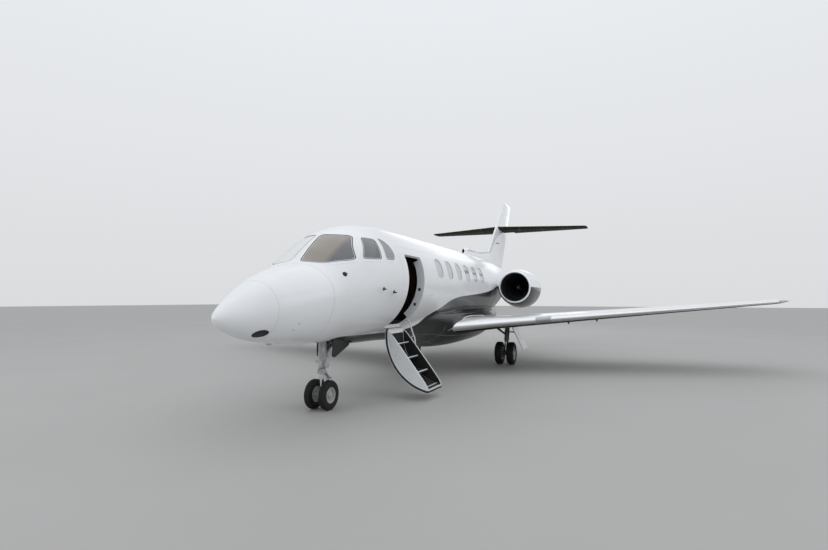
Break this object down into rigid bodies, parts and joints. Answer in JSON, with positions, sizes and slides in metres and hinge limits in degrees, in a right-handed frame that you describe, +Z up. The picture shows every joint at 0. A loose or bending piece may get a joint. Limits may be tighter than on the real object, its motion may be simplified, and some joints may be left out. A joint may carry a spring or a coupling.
{
  "type": "business jet",
  "caption": "Twin-engined business jet on its gear, with swept low wing, cruciform tail, rear engines on pylons and an open airstair door.",
  "frame": {"origin": "on the ground under the middle of the length and of the span", "axes": "+Z up, nose towards -Y, port side towards +X"},
  "size_m": [15.66, 15.6, 5.51],
  "materials": {
    "white_paint": "gloss white paint on aluminium skin",
    "radome_paint": "gloss white paint on composite",
    "charcoal_paint": "gloss charcoal paint on aluminium skin",
    "windscreen_glass": "tinted laminated glass",
    "window_shades": "acrylic panes with drawn shades",
    "cabin_lining": "laminate and carpet",
    "seat_leather": "tan leather",
    "panel_black": "matt black",
    "gear_paint": "light grey enamel",
    "wheel_hub": "satin light grey",
    "tyre_rubber": "matt black rubber",
    "stair_frame": "anodised frame with dark treads",
    "engine_metal": "bare metal"
  },
  "bodies": {
    "airframe": {"nose_cone": "radome_paint", "nose_section": "white_paint", "cockpit_shell": "white_paint", "cabin_shell": "white_paint", "rear_fuselage": "white_paint", "cockpit_glazing_left": "windscreen_glass", "cockpit_glazing_right": "windscreen_glass", "cabin_glazing_left": "window_shades", "cabin_glazing_right": "window_shades", "cabin_floor": "cabin_lining", "cockpit_bulkhead": "cabin_lining", "cabin_bulkhead": "cabin_lining", "instrument_panel": "panel_black", "crew_seat_left": "seat_leather", "crew_seat_right": "seat_leather", "belly_fairing": "charcoal_paint", "wing_left": "charcoal_paint", "wing_right": "charcoal_paint", "fin": "white_paint", "tailplane_left": "charcoal_paint", "tailplane_right": "charcoal_paint", "nacelle_left": "white_paint", "nacelle_right": "white_paint", "pylon_left": "white_paint", "pylon_right": "white_paint", "engine_left": "engine_metal", "engine_right": "engine_metal", "nose_leg": "gear_paint", "nose_gear_door_left": "charcoal_paint", "nose_gear_door_right": "charcoal_paint", "main_leg_left": "gear_paint", "main_leg_right": "gear_paint", "main_gear_door_left": "charcoal_paint", "main_gear_door_right": "charcoal_paint"},
    "nose_steering": {"nose_fork": "gear_paint"},
    "nose_wheel_pair": {"nose_wheels": "wheel_hub", "nose_tyre_left": "tyre_rubber", "nose_tyre_right": "tyre_rubber"},
    "main_wheel_pair_left": {"main_wheels_left": "wheel_hub", "main_tyre_outer_left": "tyre_rubber", "main_tyre_inner_left": "tyre_rubber"},
    "main_wheel_pair_right": {"main_wheels_right": "wheel_hub", "main_tyre_outer_right": "tyre_rubber", "main_tyre_inner_right": "tyre_rubber"},
    "airstair": {"airstair_door": "white_paint", "airstair_steps": "stair_frame"},
    "flap_left": {"flap_left": "charcoal_paint"},
    "flap_right": {"flap_right": "charcoal_paint"},
    "aileron_left": {"aileron_left": "charcoal_paint"},
    "aileron_right": {"aileron_right": "charcoal_paint"},
    "elevator_left": {"elevator_left": "charcoal_paint"},
    "elevator_right": {"elevator_right": "charcoal_paint"},
    "rudder": {"rudder": "white_paint"},
    "fan_left": {"fan_left": "engine_metal"},
    "fan_right": {"fan_right": "engine_metal"}
  },
  "joints": [
    {"name": "nose_steer", "type": "hinge", "parent": "airframe", "child": "nose_steering", "pos_m": [0, -5.62, 0.6], "axis": [0, 0, 1], "range_deg": [-45, 45]},
    {"name": "nose_wheel_spin", "type": "hinge", "parent": "nose_steering", "child": "nose_wheel_pair", "pos_m": [0, -5.62, 0.2285], "axis": [1, 0, 0], "continuous": true},
    {"name": "main_wheel_spin_left", "type": "hinge", "parent": "airframe", "child": "main_wheel_pair_left", "pos_m": [1.395, 0.79, 0.292], "axis": [1, 0, 0], "continuous": true},
    {"name": "main_wheel_spin_right", "type": "hinge", "parent": "airframe", "child": "main_wheel_pair_right", "pos_m": [-1.395, 0.79, 0.292], "axis": [1, 0, 0], "continuous": true},
    {"name": "airstair_swing", "type": "hinge", "parent": "airframe", "child": "airstair", "pos_m": [0.49, -4.125, 1.19], "axis": [0, -1, 0], "range_deg": [0, 126]},
    {"name": "flap_swing_left", "type": "hinge", "parent": "airframe", "child": "flap_left", "pos_m": [1.18, 1.1, 1.1246], "axis": [-0.9701, -0.2286, -0.0813], "range_deg": [0, 40]},
    {"name": "flap_swing_right", "type": "hinge", "parent": "airframe", "child": "flap_right", "pos_m": [-1.18, 1.1, 1.1246], "axis": [-0.9701, 0.2286, 0.0813], "range_deg": [0, 40]},
    {"name": "aileron_swing_left", "type": "hinge", "parent": "airframe", "child": "aileron_left", "pos_m": [5.15, 2.1, 1.4582], "axis": [-0.9772, -0.1954, -0.083], "range_deg": [-20, 20]},
    {"name": "aileron_swing_right", "type": "hinge", "parent": "airframe", "child": "aileron_right", "pos_m": [-5.15, 2.1, 1.4582], "axis": [-0.9772, 0.1954, 0.083], "range_deg": [-20, 20]},
    {"name": "elevator_swing_left", "type": "hinge", "parent": "airframe", "child": "elevator_left", "pos_m": [0.43, 6.694, 4.3607], "axis": [-0.9718, -0.2344, -0.0255], "range_deg": [-25, 15]},
    {"name": "elevator_swing_right", "type": "hinge", "parent": "airframe", "child": "elevator_right", "pos_m": [-0.43, 6.694, 4.3607], "axis": [-0.9718, 0.2344, 0.0255], "range_deg": [-25, 15]},
    {"name": "rudder_swing", "type": "hinge", "parent": "airframe", "child": "rudder", "pos_m": [0, 5.72, 3.02], "axis": [0, 0.558, 0.8298], "range_deg": [-25, 25]},
    {"name": "fan_spin_left", "type": "hinge", "parent": "airframe", "child": "fan_left", "pos_m": [1.52, 1.99, 2.05], "axis": [0, 1, 0], "continuous": true},
    {"name": "fan_spin_right", "type": "hinge", "parent": "airframe", "child": "fan_right", "pos_m": [-1.52, 1.99, 2.05], "axis": [0, 1, 0], "continuous": true}
  ],
  "couplings": [
    {"joint": "flap_swing_right", "follows": "flap_swing_left", "ratio": 1},
    {"joint": "aileron_swing_right", "follows": "aileron_swing_left", "ratio": -1},
    {"joint": "elevator_swing_right", "follows": "elevator_swing_left", "ratio": 1}
  ]
}
